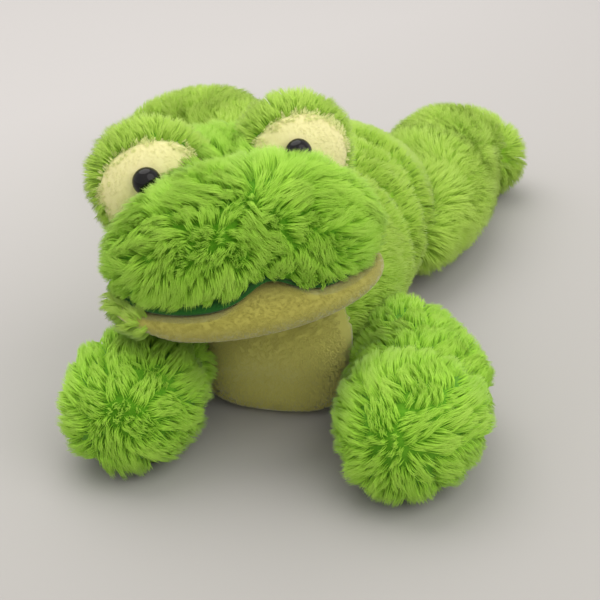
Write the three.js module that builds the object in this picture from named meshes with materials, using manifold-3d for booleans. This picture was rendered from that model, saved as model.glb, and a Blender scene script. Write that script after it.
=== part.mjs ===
// A plush frog that lies on its belly: a stuffed body with a plush back and a velour belly, a wide head
// turned to one side, a cream lower jaw, two raised eyes with plastic beads, and four floppy legs.
// Millimetres. +Z is up, the frog faces -Y, and +X is its own left. The origin is on the floor under
// the middle of the body.
import * as THREE from "three";
import { mergeVertices } from "three/addons/utils/BufferGeometryUtils.js";
import Module from "manifold-3d";

// Cloth, seams and clearances
const skinThickness = 5; // backing cloth and the pile that stands on it
const patchThickness = 3; // short-pile cloth of the eyes
const seamGap = 0.35; // between two pieces that are sewn or pressed together
const overrun = 6; // how far a cutting shape runs past what it cuts
const floorSag = 9; // height above the floor where stuffing starts to spread
const floorBite = 0.5; // depth of the flat that the floor presses into a stuffed form

// Body, from its front end to its rear end
const bodyLength = 208;
const bodyWidth = 114;
const bodyHeight = 98;
const bodyWidthShares = [0.74, 0.9, 0.98, 1.06, 0.98];
const bodyHeightShares = [0.88, 0.98, 1, 0.97, 0.84];
const bodyBluntness = 4.6; // 2 gives round ends, more gives blunt ones
const bodySettle = 9; // how far the unpressed form reaches below the floor
const chestDrop = 20; // how far the front end hangs below the middle of the body
const bellySeamHeight = 14; // where the velour belly meets the plush back, along the flanks
const chestWidth = 60; // of the velour, under the chin
const chestSeamHeight = 66;
const chestDepth = 34; // how far back from the front end the velour chest reaches

// Head, in its own frame: x to the frog's left, y back, z up, from the middle of the head
const headYaw = 29; // degrees to the frog's left
const headRoll = 4; // degrees that the frog's left side is raised
const headAboveBody = 4; // middle of the head above the top of the body
const headAside = 21; // middle of the head to the frog's right
const headInset = 19; // middle of the head behind the front end of the body
const neckInset = 42; // middle of the neck behind the front end of the body
const neckAside = 10; // middle of the neck to the frog's right
const snoutWidth = 120;
const snoutLength = 65;
const snoutHeight = 75;
const snoutForward = 28;
const snoutDrop = 2;
const craniumWidth = 100;
const craniumLength = 88;
const craniumHeight = 66;
const craniumBack = 18;
const headBlend = 5; // higher gives a sharper join of snout and cranium
const creaseDepth = 3; // dent down the middle of the snout
const creaseWidth = 18;

// Mouth and lower jaw
const mouthDrop = 11.5; // mouth line below the middle of the head
const lipPeak = 7.5; // rise of the lip in the middle
const lipPeakWidth = 27;
const lipDip = 1.5; // sag on each side of it
const lipDroop = 2.5; // drop at the corners
const liningThickness = 2.6;
const liningInset = 1.5; // lining's edge inside the snout's outline
const jawWidth = 117;
const jawLength = 71;
const jawHeight = 30;
const jawForward = 28;
const jawDrop = 18;

// Eyes
const eyeWidth = 52;
const eyeDepth = 34;
const eyeHeight = 50;
const eyeAngle = 60; // degrees that each eye sits down from the top of the head
const eyeBackAngle = 21; // degrees that each eye sits behind the middle of the head
const eyeSink = 7.5; // middle of each eye below the surface of the head
const eyeAside = 4; // both eyes from there to the frog's left
const eyeSplay = 4; // degrees that each eye turns outwards
const eyeTilt = 12; // degrees that each eye leans back
const patchWidth = 46;
const patchHeight = 44;
const patchDrop = 2; // middle of the patch below the middle of the eye
const patchBack = 4; // edge of the patch in front of the middle of the eye
const beadDiameter = 12;
const beadDome = 5.5;
const beadRise = 5; // middle of the bead above the middle of the patch
const beadAside = 4; // middle of the bead from the middle of the patch to the frog's right
const shankDiameter = 4;
const shankLength = 8.5;
const shankGap = 0.4;
const washerDiameter = 11;
const washerThickness = 1.8;
const washerInset = 0.8; // the washer's rim behind the cloth that it is nearest to

// Front legs, from the shoulder to the paw
const armLength = 128;
const armWidth = 60;
const leftArmWidthShares = [0.8, 1, 1.14, 1.16, 1.04];
const rightArmWidthShares = [0.76, 0.78, 0.86, 1.12, 1.1];
const armHeightShares = [0.78, 0.82, 0.9, 1.1, 1.12];
const armBluntness = 3;
const shoulderInset = 62; // behind the front end of the body
const shoulderHeight = 32;
const pawHeight = 29; // middle of the paw above the floor, before the floor presses it
const shoulderAcross = 40;
const leftElbowAcross = 65;
const leftPawAcross = 57;
const rightElbowAcross = 47;
const rightPawAcross = 56;

// Rear legs: each runs back from the hip and turns outwards at the knee
const legWidth = 66;
const legHeight = 65;
const legWidthShares = [0.92, 1.04, 1.02, 0.96, 0.9];
const legHeightShares = [0.9, 1, 1.04, 0.92, 0.8];
const legBluntness = 2.6;
const footHeight = 28; // middle of the foot above the floor, before the floor presses it
const hipAcross = 48;
const hipInset = 86; // ahead of the rear end of the body
const thighAcross = 55;
const thighInset = 12;
const leftKnee = { across: 58, back: 42 }; // behind the rear end of the body
const leftAnkle = { across: 80, back: 65 };
const leftToe = { across: 104, back: 63 };
const rightKnee = { across: 84, back: 54 };
const rightAnkle = { across: 116, back: 72 };
const rightToe = { across: 146, back: 61 };

// How far each joint turns from rest, in degrees
const neckTurn = { left: 10, right: 20 };
const armSwing = { inwards: 6, outwards: 16 };
const legSwing = { inwards: 6, outwards: 14 };

// Facets of the outside and of what is inside
const bodyFacets = { around: 22, along: 14 };
const limbFacets = { around: 16, along: 12 };
const headFacets = { around: 28, along: 16 };
const jawFacets = { around: 24, along: 8 };
const eyeFacets = { around: 14, along: 8 };
const innerFacets = { around: 12, along: 8 };
const roundFacets = 12;
const lipFacets = 18;
const sweepSteps = 6; // turned copies of a shape that another piece has to clear
const mergeTolerance = 1e-4;

const wasm = await Module();
wasm.setup();

const radians = THREE.MathUtils.degToRad;
const vec = (x, y, z) => new THREE.Vector3(x, y, z);
const up = vec(0, 0, 1);
const matrix = () => new THREE.Matrix4();

function solidOf(geometry, place = matrix()) {
  const bare = geometry.clone();
  bare.deleteAttribute("normal");
  bare.deleteAttribute("uv");
  bare.applyMatrix4(place);
  const merged = mergeVertices(bare, mergeTolerance);
  return new wasm.Manifold(
    new wasm.Mesh({
      numProp: 3,
      vertProperties: new Float32Array(merged.attributes.position.array),
      triVerts: new Uint32Array(merged.index.array),
    }),
  );
}

function geometryOf(solid) {
  const mesh = solid.getMesh();
  const places = new Float32Array(mesh.numVert * 3);
  for (let i = 0; i < mesh.numVert; i++) {
    places.set(mesh.vertProperties.subarray(i * mesh.numProp, i * mesh.numProp + 3), i * 3);
  }
  const geometry = new THREE.BufferGeometry();
  geometry.setAttribute("position", new THREE.BufferAttribute(places, 3));
  geometry.setIndex(new THREE.BufferAttribute(new Uint32Array(mesh.triVerts), 1));
  geometry.computeVertexNormals();
  return geometry;
}

function largestPiece(solid) {
  return solid.decompose().sort((a, b) => b.volume() - a.volume())[0];
}

// The value at t, from 0 to 1, of a smooth run through the listed values.
function along(values, t) {
  const curve = new THREE.SplineCurve(values.map((value, i) => new THREE.Vector2(i, value)));
  return curve.getPoint(t).y;
}

// A stuffed tube with closed ends, along a spine, before the floor presses it. A sphere's rings are
// set square to the spine, and grow moves the whole surface outwards.
function looseForm(form, grow, facets) {
  const spine = new THREE.CatmullRomCurve3(form.spine);
  const ball = new THREE.SphereGeometry(1, facets.around, facets.along);
  const places = ball.attributes.position;
  for (let i = 0; i < places.count; i++) {
    const x = places.getX(i);
    const z = places.getZ(i);
    const rim = Math.hypot(x, z) || 1;
    const t = THREE.MathUtils.clamp((1 - places.getY(i)) / 2, 0, 1);
    const swell = (1 - Math.abs(2 * t - 1) ** form.bluntness) ** (1 / form.bluntness);
    const ahead = spine.getTangent(t);
    const side = ahead.clone().cross(up).normalize();
    const rise = side.clone().cross(ahead);
    const place = spine
      .getPoint(t)
      .addScaledVector(ahead, grow * (2 * t - 1))
      .addScaledVector(side, (x / rim) * swell * (along(form.widths, t) / 2 + grow))
      .addScaledVector(rise, (-z / rim) * swell * (along(form.heights, t) / 2 + grow));
    places.setXYZ(i, place.x, place.y, place.z);
  }
  return ball;
}

// The same tube where it lies: near the floor its stuffing spreads, and it bites into the floor a little.
function stuffedForm(form, grow = 0, facets = form.facets) {
  const outside = looseForm(form, 0, form.facets);
  outside.computeBoundingBox();
  const spread = (height) => (height + Math.hypot(height, floorSag)) / 2;
  const base = spread(outside.boundingBox.min.z) + floorBite;
  const loose = looseForm(form, grow, facets);
  const places = loose.attributes.position;
  for (let i = 0; i < places.count; i++) {
    places.setZ(i, spread(places.getZ(i)) - base);
  }
  return solidOf(loose);
}

// Copies of a solid turned about an upright axis, at rest and all the way from low to high degrees.
function swept(solid, pivot, low, high) {
  const turns = Array.from({ length: sweepSteps + 1 }, (_, i) => low + ((high - low) * i) / sweepSteps);
  const copies = [0, ...turns].map((angle) => {
    const turn = matrix()
      .makeTranslation(pivot.x, pivot.y, 0)
      .multiply(matrix().makeRotationZ(radians(angle)))
      .multiply(matrix().makeTranslation(-pivot.x, -pivot.y, 0));
    return solid.transform(turn.elements);
  });
  return copies.reduce((all, copy) => all.add(copy));
}

const underFloor = solidOf(
  new THREE.BoxGeometry(bodyLength * 3, bodyLength * 3, bodyHeight),
  matrix().makeTranslation(0, 0, -bodyHeight / 2),
);

const colours = {
  plush: 0x8fc63d,
  velour: 0xe0d79a,
  lining: 0x1f7a3f,
  bead: 0x0b0b0d,
  washer: 0xf2f2ee,
  stuffing: 0xf7f6f2,
};
const clothRoughness = 0.95;
const washerRoughness = 0.5;
const beadRoughness = 0.12;

const frog = new THREE.Group();

function addPiece(name, solid, color, roughness = clothRoughness) {
  const material = new THREE.MeshStandardMaterial({ color, roughness, metalness: 0 });
  const mesh = new THREE.Mesh(geometryOf(solid), material);
  mesh.name = name;
  frog.add(mesh);
}

// Body
const bodyFront = -bodyLength / 2;
const bodyRear = bodyLength / 2;
const bodyMiddle = bodyHeight / 2 - bodySettle;
const bodyTop = bodyHeight - bodySettle - floorSag / 2;
const body = {
  spine: [
    vec(0, bodyFront, bodyMiddle - chestDrop),
    vec(0, bodyFront / 2, bodyMiddle),
    vec(0, 0, bodyMiddle),
    vec(0, bodyRear / 2, bodyMiddle),
    vec(0, bodyRear, bodyMiddle),
  ],
  widths: bodyWidthShares.map((share) => share * bodyWidth),
  heights: bodyHeightShares.map((share) => share * bodyHeight),
  bluntness: bodyBluntness,
  facets: bodyFacets,
};

// Where the cloth is velour: low along the flanks, and up the front in a round-topped chest.
function velourRegion(grow) {
  const belly = solidOf(
    new THREE.BoxGeometry(bodyWidth * 2, bodyLength * 2, bodyHeight),
    matrix().makeTranslation(0, 0, bellySeamHeight + grow - bodyHeight / 2),
  );
  const half = chestWidth / 2 + grow;
  const shoulder = chestSeamHeight - chestWidth / 2;
  const outline = new THREE.Shape();
  outline.moveTo(-half, 0);
  outline.lineTo(half, 0);
  outline.lineTo(half, shoulder);
  outline.absarc(0, shoulder, half, 0, Math.PI, false);
  outline.closePath();
  const chest = solidOf(
    new THREE.ExtrudeGeometry(outline, {
      depth: chestDepth + bodyHeight / 2, // the front end leans out past its middle
      bevelEnabled: false,
      curveSegments: roundFacets,
    }),
    matrix()
      .makeTranslation(0, bodyFront + chestDepth + grow, 0)
      .multiply(matrix().makeRotationX(Math.PI / 2)),
  );
  return belly.add(chest);
}

const bodyClear = stuffedForm(body, seamGap);
const bodySkin = stuffedForm(body)
  .subtract(stuffedForm(body, -skinThickness, innerFacets))
  .subtract(underFloor);
addPiece("back_panel", bodySkin.subtract(velourRegion(seamGap)), colours.plush);
addPiece("belly_panel", bodySkin.intersect(velourRegion(0)), colours.velour);
addPiece("body_stuffing", stuffedForm(body, -skinThickness - seamGap, innerFacets), colours.stuffing);

// Head
const headPlace = matrix()
  .makeTranslation(-headAside, bodyFront + headInset, bodyTop + headAboveBody)
  .multiply(matrix().makeRotationZ(radians(headYaw)))
  .multiply(matrix().makeRotationY(radians(-headRoll)));
const neck = vec(-neckAside, bodyFront + neckInset, 0);
const snout = {
  middle: vec(0, -snoutForward, -snoutDrop),
  radii: vec(snoutWidth, snoutLength, snoutHeight).divideScalar(2),
};
const cranium = {
  middle: vec(0, craniumBack, 0),
  radii: vec(craniumWidth, craniumLength, craniumHeight).divideScalar(2),
};

// How far an ellipsoid reaches along a direction, from the origin, which is inside it.
function reach(direction, ellipsoid) {
  const way = direction.clone().divide(ellipsoid.radii);
  const middle = ellipsoid.middle.clone().divide(ellipsoid.radii);
  const square = way.lengthSq();
  const facing = way.dot(middle);
  return (facing + Math.sqrt(facing * facing + square * (1 - middle.lengthSq()))) / square;
}

// Snout and cranium run smoothly into each other, with a dent down the middle of the snout.
function headReach(direction) {
  const both = reach(direction, snout) ** headBlend + reach(direction, cranium) ** headBlend;
  const smooth = both ** (1 / headBlend);
  const aside = (direction.x * smooth) / (creaseWidth / 2);
  return smooth - creaseDepth * Math.exp(-aside * aside) * Math.max(-direction.y, 0);
}

function headForm(grow, facets = headFacets) {
  const ball = new THREE.SphereGeometry(1, facets.around, facets.along).rotateX(Math.PI / 2);
  const places = ball.attributes.position;
  for (let i = 0; i < places.count; i++) {
    const way = vec(places.getX(i), places.getY(i), places.getZ(i)).normalize();
    way.multiplyScalar(headReach(way) + grow);
    places.setXYZ(i, way.x, way.y, way.z);
  }
  return solidOf(ball, headPlace);
}

// An ellipsoid from its half sizes and middle, in the frame that place sets.
function ellipsoid(half, middle, facets, place) {
  const ball = new THREE.SphereGeometry(1, facets.around, facets.along).rotateX(Math.PI / 2);
  ball.scale(half.x, half.y, half.z);
  ball.translate(middle.x, middle.y, middle.z);
  return solidOf(ball, place);
}

function jawForm(grow, facets = jawFacets) {
  const half = vec(jawWidth, jawLength, jawHeight).divideScalar(2).addScalar(grow);
  return ellipsoid(half, vec(0, -jawForward, -jawDrop), facets, headPlace);
}

// Height of the mouth line: a peak in the middle, a dip on each side and a droop at the corners.
function lipHeight(x) {
  const share = Math.min(Math.abs(x) / (snoutWidth / 2), 1);
  const peak = lipPeak * Math.exp(-((x / (lipPeakWidth / 2)) ** 2));
  return peak - mouthDrop - lipDip * Math.sin(Math.PI * share) ** 2 - lipDroop * share ** 4;
}

// A block across the whole head, from low to high above the mouth line, which its faces follow.
function mouthBlock(low, high) {
  const block = new THREE.BoxGeometry(snoutWidth * 1.5, snoutWidth * 2, high - low, lipFacets, 1, 1);
  const places = block.attributes.position;
  for (let i = 0; i < places.count; i++) {
    places.setZ(i, places.getZ(i) + (low + high) / 2 + lipHeight(places.getX(i)));
  }
  return solidOf(block, headPlace);
}

// Eyes: a stuffed plush lobe, a patch over its front, and a bead whose shank goes through the patch
// into a locking washer
const fillingInset = patchThickness + seamGap;
const beadBack = -eyeDepth / 2 - seamGap;
const beadHeight = beadRise - patchDrop;
const washerReach = Math.hypot(beadAside, beadHeight) + washerDiameter / 2;
const clothReach = Math.min(eyeWidth, eyeHeight) / 2 - patchThickness;
const clothBack = (patchThickness - eyeDepth / 2) * Math.sqrt(1 - (washerReach / clothReach) ** 2);
const washerFront = clothBack + washerInset;

function eyeParts(sign) {
  const way = vec(sign * Math.sin(radians(eyeAngle)), 0, Math.cos(radians(eyeAngle)));
  way.setY(Math.tan(radians(eyeBackAngle))).normalize();
  const middle = way.clone().multiplyScalar(headReach(way) - eyeSink);
  middle.x += eyeAside;
  const place = headPlace
    .clone()
    .multiply(matrix().makeTranslation(middle.x, middle.y, middle.z))
    .multiply(matrix().makeRotationZ(radians(sign * eyeSplay)))
    .multiply(matrix().makeRotationX(radians(-eyeTilt)));
  const lobe = (grow, facets = eyeFacets) => {
    const half = vec(eyeWidth, eyeDepth, eyeHeight).divideScalar(2).addScalar(grow);
    return ellipsoid(half, vec(0, 0, 0), facets, place);
  };
  // A round bar along the eye's own y axis
  const bar = (width, height, front, back, aside, rise) => {
    const round = new THREE.CylinderGeometry(1, 1, back - front, roundFacets);
    round.scale(width / 2, 1, height / 2);
    round.translate(aside, (front + back) / 2, rise);
    return solidOf(round, place);
  };
  const patch = (grow) => {
    const spread = 2 * grow;
    const back = grow - patchBack;
    return bar(patchWidth + spread, patchHeight + spread, -eyeDepth, back, 0, -patchDrop);
  };
  const hole = (grow) => {
    const width = shankDiameter + 2 * grow;
    return bar(width, width, beadBack - overrun, beadBack + shankLength + grow, -beadAside, beadHeight);
  };
  const washer = (grow) => {
    const width = washerDiameter + 2 * grow;
    const back = washerFront + washerThickness + grow;
    return bar(width, width, washerFront - grow, back, -beadAside, beadHeight);
  };
  // Recess in the stuffing, open to the patch, for the washer and the end of the shank
  const seat = (grow) => {
    const width = washerDiameter + 2 * grow;
    const back = Math.max(beadBack + shankLength, washerFront + washerThickness) + grow;
    return bar(width, width, -eyeDepth, back, -beadAside, beadHeight);
  };
  const bead = (grow) => {
    const dome = new THREE.EllipseCurve(0, 0, beadDiameter / 2 + grow, beadDome + grow, 0, Math.PI / 2);
    const profile = [
      new THREE.Vector2(0, -shankLength - grow),
      new THREE.Vector2(shankDiameter / 2 + grow, -shankLength - grow),
      new THREE.Vector2(shankDiameter / 2 + grow, -grow),
      new THREE.Vector2(beadDiameter / 2 + grow, -grow),
      ...dome.getPoints(roundFacets / 4).slice(1, -1),
      new THREE.Vector2(0, beadDome + grow),
    ];
    const turned = new THREE.LatheGeometry(profile, roundFacets).rotateX(Math.PI);
    turned.translate(-beadAside, beadBack, beadHeight);
    return solidOf(turned, place);
  };
  return { lobe, patch, hole, washer, seat, bead };
}

const eyes = { left: eyeParts(1), right: eyeParts(-1) };
const hardware = [eyes.left, eyes.right]
  .map((eye) => eye.bead(seamGap).add(eye.washer(seamGap)))
  .reduce((all, eye) => all.add(eye));

const bodyAway = swept(bodyClear, neck, -neckTurn.left, neckTurn.right);
const halfLining = liningThickness / 2;
const upperHead = mouthBlock(halfLining + seamGap, snoutHeight * 2).subtract(bodyAway).subtract(hardware);
const lowerHead = mouthBlock(-snoutHeight * 2, -halfLining - seamGap).subtract(bodyAway);
const headHollow = headForm(-skinThickness, innerFacets);
const headFilling = headForm(-skinThickness - seamGap, innerFacets);
const jawHollow = jawForm(-skinThickness, innerFacets);
const jawFilling = jawForm(-skinThickness - seamGap, innerFacets);
const lining = headForm(-liningInset).intersect(mouthBlock(-halfLining, halfLining));
addPiece("head_skin", headForm(0).subtract(headHollow).intersect(upperHead), colours.plush);
addPiece("head_stuffing", headFilling.intersect(upperHead), colours.stuffing);
addPiece("mouth_lining", lining.subtract(bodyAway), colours.lining);
addPiece("jaw_skin", jawForm(0).subtract(jawHollow).intersect(lowerHead), colours.velour);
addPiece("jaw_stuffing", jawFilling.intersect(lowerHead), colours.stuffing);

const headClear = headForm(seamGap);
for (const [side, eye] of Object.entries(eyes)) {
  const skin = eye.lobe(0).subtract(eye.lobe(-patchThickness, innerFacets)).subtract(headClear);
  const filling = eye.lobe(-fillingInset, innerFacets).subtract(headClear);
  const washer = eye.washer(0).subtract(eye.hole(shankGap));
  addPiece(`eye_lobe_${side}`, skin.subtract(eye.patch(seamGap)), colours.plush);
  addPiece(`eye_patch_${side}`, skin.intersect(eye.patch(0)).subtract(eye.hole(shankGap)), colours.velour);
  addPiece(`eye_stuffing_${side}`, filling.subtract(eye.seat(shankGap)), colours.stuffing);
  addPiece(`eye_bead_${side}`, eye.bead(0), colours.bead, beadRoughness);
  addPiece(`eye_washer_${side}`, washer, colours.washer, washerRoughness);
}

// Legs: a plush sleeve and its stuffing, cut back to the body that it is sewn to
function addLeg(name, form, pivot, low, high, others) {
  const away = swept(bodyClear, pivot, low, high).add(others).add(underFloor);
  const hollow = stuffedForm(form, -skinThickness, innerFacets);
  const sleeve = stuffedForm(form).subtract(hollow);
  const filling = stuffedForm(form, -skinThickness - seamGap, innerFacets).intersect(hollow);
  addPiece(`${name}_skin`, largestPiece(sleeve.subtract(away)), colours.plush);
  addPiece(`${name}_stuffing`, largestPiece(filling.subtract(away)), colours.stuffing);
}

const headAndJaw = headClear.intersect(upperHead).add(jawForm(seamGap));
const headTurning = swept(headAndJaw, neck, -neckTurn.right, neckTurn.left);

function addFrontLeg(side, sign, elbowAcross, pawAcross, widthShares) {
  const shoulder = vec(sign * shoulderAcross, bodyFront + shoulderInset, shoulderHeight);
  const elbowHeight = (shoulderHeight + pawHeight) / 2;
  const form = {
    spine: [
      shoulder,
      vec(sign * elbowAcross, shoulder.y - armLength / 2, elbowHeight),
      vec(sign * pawAcross, shoulder.y - armLength, pawHeight),
    ],
    widths: widthShares.map((share) => share * armWidth),
    heights: armHeightShares.map((share) => share * armWidth),
    bluntness: armBluntness,
    facets: limbFacets,
  };
  const low = sign > 0 ? -armSwing.outwards : -armSwing.inwards;
  const high = sign > 0 ? armSwing.inwards : armSwing.outwards;
  addLeg(`front_leg_${side}`, form, shoulder, low, high, swept(headTurning, shoulder, low, high));
}

function addRearLeg(side, sign, knee, ankle, toe) {
  const height = legHeight / 2;
  const hip = vec(sign * hipAcross, bodyRear - hipInset, height);
  const form = {
    spine: [
      hip,
      vec(sign * thighAcross, bodyRear - thighInset, height),
      vec(sign * knee.across, bodyRear + knee.back, height),
      vec(sign * ankle.across, bodyRear + ankle.back, footHeight),
      vec(sign * toe.across, bodyRear + toe.back, footHeight),
    ],
    widths: legWidthShares.map((share) => share * legWidth),
    heights: legHeightShares.map((share) => share * legHeight),
    bluntness: legBluntness,
    facets: limbFacets,
  };
  const low = sign > 0 ? -legSwing.inwards : -legSwing.outwards;
  const high = sign > 0 ? legSwing.outwards : legSwing.inwards;
  addLeg(`rear_leg_${side}`, form, hip, low, high, bodyClear);
}

addFrontLeg("left", 1, leftElbowAcross, leftPawAcross, leftArmWidthShares);
addFrontLeg("right", -1, rightElbowAcross, rightPawAcross, rightArmWidthShares);
addRearLeg("left", 1, leftKnee, leftAnkle, leftToe);
addRearLeg("right", -1, rightKnee, rightAnkle, rightToe);

export default frog;
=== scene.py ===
"""The looks of a plush frog: cloth under long lime-green pile, cream velour, bead eyes and a lined mouth.

Metres. +Z is up, the frog faces -Y and +X is its own left. Each stuffed form is built from its own sizes,
a pile's depth inside its CAD solid, and the pile stands on it as tapered strands in tufts."""
import itertools
import math
from functools import partial

import bpy
import numpy as np
from mathutils import Matrix, Vector
from mathutils.kdtree import KDTree


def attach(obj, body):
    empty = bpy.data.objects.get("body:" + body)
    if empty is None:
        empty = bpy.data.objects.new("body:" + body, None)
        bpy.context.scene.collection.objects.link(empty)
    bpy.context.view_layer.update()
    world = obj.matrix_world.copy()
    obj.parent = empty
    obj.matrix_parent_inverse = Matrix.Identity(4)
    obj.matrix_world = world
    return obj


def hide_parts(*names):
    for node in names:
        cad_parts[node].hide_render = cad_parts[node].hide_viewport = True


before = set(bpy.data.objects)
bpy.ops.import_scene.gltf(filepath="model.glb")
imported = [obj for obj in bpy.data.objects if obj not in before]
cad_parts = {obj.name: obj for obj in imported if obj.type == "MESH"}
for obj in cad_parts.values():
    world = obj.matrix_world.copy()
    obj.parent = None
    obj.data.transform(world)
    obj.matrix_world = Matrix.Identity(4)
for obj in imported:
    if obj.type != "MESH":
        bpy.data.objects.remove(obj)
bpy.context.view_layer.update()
MM = 0.001
UP = np.array([0.0, 0.0, 1.0])

# Camera and frame of the photograph
AZIMUTH, ELEVATION = 10.0, 28.0
FOCAL_PIXELS, IMAGE_PIXELS, SENSOR = 1250.0, 600.0, 36.0
LOOK_AT = np.array([8.0, -72.0, 45.0]) * MM
CAMERA_DISTANCE = 560 * MM

# Light: the room's colour and strength, and the place, size and power of each lamp
ROOM_COLOUR, ROOM_STRENGTH = (1.0, 0.985, 0.96, 1), 0.88
LAMP_COLOUR, LAMP_AIM = (1.0, 0.98, 0.95), (0, 0, 0.04)
LAMPS = {"window": ((-0.4, 0.35, 1.4), 1.6, 12), "fill": ((0.9, -0.5, 1.1), 1.4, 7)}

# Floor: half its side, and the run of painted window light across it from its shaded to its lit end
FLOOR_HALF = 4.0
FLOOR_WAY, FLOOR_START, FLOOR_END = (-0.8, 0.6, 0.0), -0.15, 0.35
FLOOR_SHADE, FLOOR_LIT = (0.425, 0.412, 0.398), (0.515, 0.497, 0.490)

# How deep the cloth lies under the CAD solids, which stand for the tips of the pile
PILE = 7 * MM
SHORT_PILE = 1.0 * MM
EYE_PILE, PATCH_PILE = 4 * MM, 1.2 * MM
# How far the back's long pile laps over the velour's edge
SEAM_LAP = 2.5 * MM
# Least heights of cloth and of strands over the floor
CLOTH_LIFT, STRAND_LIFT = 0.2 * MM, 0.3 * MM
BACK_THICKNESS, PATCH_THICKNESS = 1.5 * MM, 2 * MM

# How softly a form's underside rounds off where it rests, and how deep it is pressed into the floor
FLOOR_SAG = 9 * MM
FLOOR_BITE = 0.5 * MM

# Body
BODY_LENGTH, BODY_WIDTH, BODY_HEIGHT = 208 * MM, 114 * MM, 98 * MM
BODY_SETTLE, CHEST_DROP = 9 * MM, 20 * MM
BODY_WIDTHS = np.array([0.74, 0.9, 0.98, 1.06, 0.98]) * BODY_WIDTH
BODY_HEIGHTS = np.array([0.88, 0.98, 1, 0.97, 0.84]) * BODY_HEIGHT
BODY_BLUNTNESS = 4.6
BELLY_SEAM, CHEST_WIDTH, CHEST_SEAM, CHEST_DEPTH = 14 * MM, 60 * MM, 66 * MM, 34 * MM
BODY_FRONT, BODY_REAR = -BODY_LENGTH / 2, BODY_LENGTH / 2
BODY_MIDDLE = BODY_HEIGHT / 2 - BODY_SETTLE
BODY_TOP = BODY_HEIGHT - BODY_SETTLE - FLOOR_SAG / 2
# Each fold of the back: its y at the top, how far that moves on the way down, depth and width, in millimetres
FOLDS = [(46.0, -26.0, 5.5, 6.5), (3.0, -12.0, 4.6, 6.0)]
FOLD_FALL, FOLD_ACROSS, FOLD_ABOVE = 40 * MM, (8 * MM, 26 * MM), (22 * MM, 45 * MM)
# Cloth pushed up beside a fold: its share of the fold's depth, and its place in widths of the fold
BANK, BANK_PLACE = 0.45, 1.8
# The foot of the chest is pressed square against the floor
CHEST_FOOT, CHEST_SQUARE, CHEST_TURN = 24 * MM, 4 * MM, 10 * MM
CHEST_SPAN = (0.6 * BODY_REAR, 0.95 * BODY_REAR)

# Head
HEAD_YAW, HEAD_ROLL = 29.0, 4.0
HEAD_ABOVE_BODY, HEAD_ASIDE, HEAD_INSET = 4 * MM, 21 * MM, 19 * MM
SNOUT_RADII = np.array([120.0, 65.0, 75.0]) * MM / 2
SNOUT_MIDDLE = np.array([0.0, -28.0, -2.0]) * MM
CRANIUM_RADII = np.array([100.0, 88.0, 66.0]) * MM / 2
CRANIUM_MIDDLE = np.array([0.0, 18.0, 0.0]) * MM
HEAD_BLEND, CREASE_DEPTH, CREASE_WIDTH = 5, 3 * MM, 18 * MM
JAW_RADII = np.array([117.0, 71.0, 30.0]) * MM / 2
JAW_MIDDLE = np.array([0.0, -28.0, -18.0]) * MM

# Mouth
MOUTH_DROP, LIP_PEAK, LIP_PEAK_WIDTH, LIP_DIP, LIP_DROOP = np.array([11.5, 7.5, 27.0, 1.5, 2.5]) * MM
# Height that is left, as a share, of the part of a form that is pressed flat at the lip
LIP_FLATNESS = 0.04
# Half the slit's height in millimetres where it is shut, how much more where it gapes, and where that is
MOUTH_SLIT, MOUTH_GAPE = 0.7, 2.6
GAPE_START, GAPE_END = (8 * MM, 26 * MM), (-62 * MM, -52 * MM)
JAW_LIP_DROP = 1.3 * MM
# Green fur wraps round the mouth's corner on the frog's right, and the jaw's lower side is drawn up to it
CORNER_PLACE, CORNER_FRAY = -48 * MM, 1.5 * MM
CORNER_LIFT, CORNER_SPAN = 0.45, (36 * MM, 58 * MM)
# Millimetres that the lining's rim lies inside the head: in front, more at the left, in corners and behind
LINING_INSETS = (2.5, 1.5, 5, 9)
LINING_LEFT, LINING_BEHIND = (-0.1, 0.2), (-0.35, 0.1)
LINING_DIP, LINING_OVERLAP, LINING_RISE = 0.28, 0.6 * MM, 0.4

# The head's fur: where it parts, turns down at the front, and how much it leans each way
PARTING_PLACE, PARTING_BLEND, FRONT_PLACE, FRONT_BLEND = 9 * MM, 20 * MM, -4 * MM, 8 * MM
LEAN_ASIDE, LEAN_ASIDE_FRONT, LEAN_BACK, LEAN_DOWN = 0.15, 0.3, 0.4, 0.2
# Middle and half sizes of each dark parting of the fur, in the head's frame
PARTINGS = np.array([
    [(-11.0, -47.0, 27.0), (11.0, 9.0, 3.2)],
    [(10.0, -53.5, 19.0), (2.6, 9.0, 11.0)],
    [(3.0, -38.0, 32.0), (7.0, 6.0, 5.0)],
    [(-43.0, -47.0, 11.0), (9.0, 9.0, 9.0)],
]) * MM
PARTING_SPREAD, PARTING_LEAN, PARTING_CORE, PARTING_CUT = 1.6, 0.7, 0.6, 0.7
# Fur at the lip: its share of length to the frog's right, how much more to its left, and where it is full
LIP_FUR, LIP_FUR_LEFT, LIP_FUR_TURN, LIP_FUR_FULL, LIP_BARE = 0.35, 0.5, 8 * MM, 12 * MM, 0.6 * MM
# Longer fur on the snout, below the frog's left bead
BROW_MIDDLE, BROW_RADIUS, BROW_LENGTHEN = np.array([22.0, -38.0, 30.0]) * MM, 14 * MM, 0.55

# Eyes
EYE_RADII = np.array([52.0, 34.0, 50.0]) * MM / 2
EYE_ANGLE, EYE_BACK_ANGLE, EYE_SINK, EYE_SPLAY, EYE_TILT = 60.0, 21.0, 7.5 * MM, 4.0, 12.0
PATCH_WIDTH, PATCH_HEIGHT, PATCH_DROP, PATCH_BACK = 46 * MM, 44 * MM, 2 * MM, 4 * MM
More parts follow.
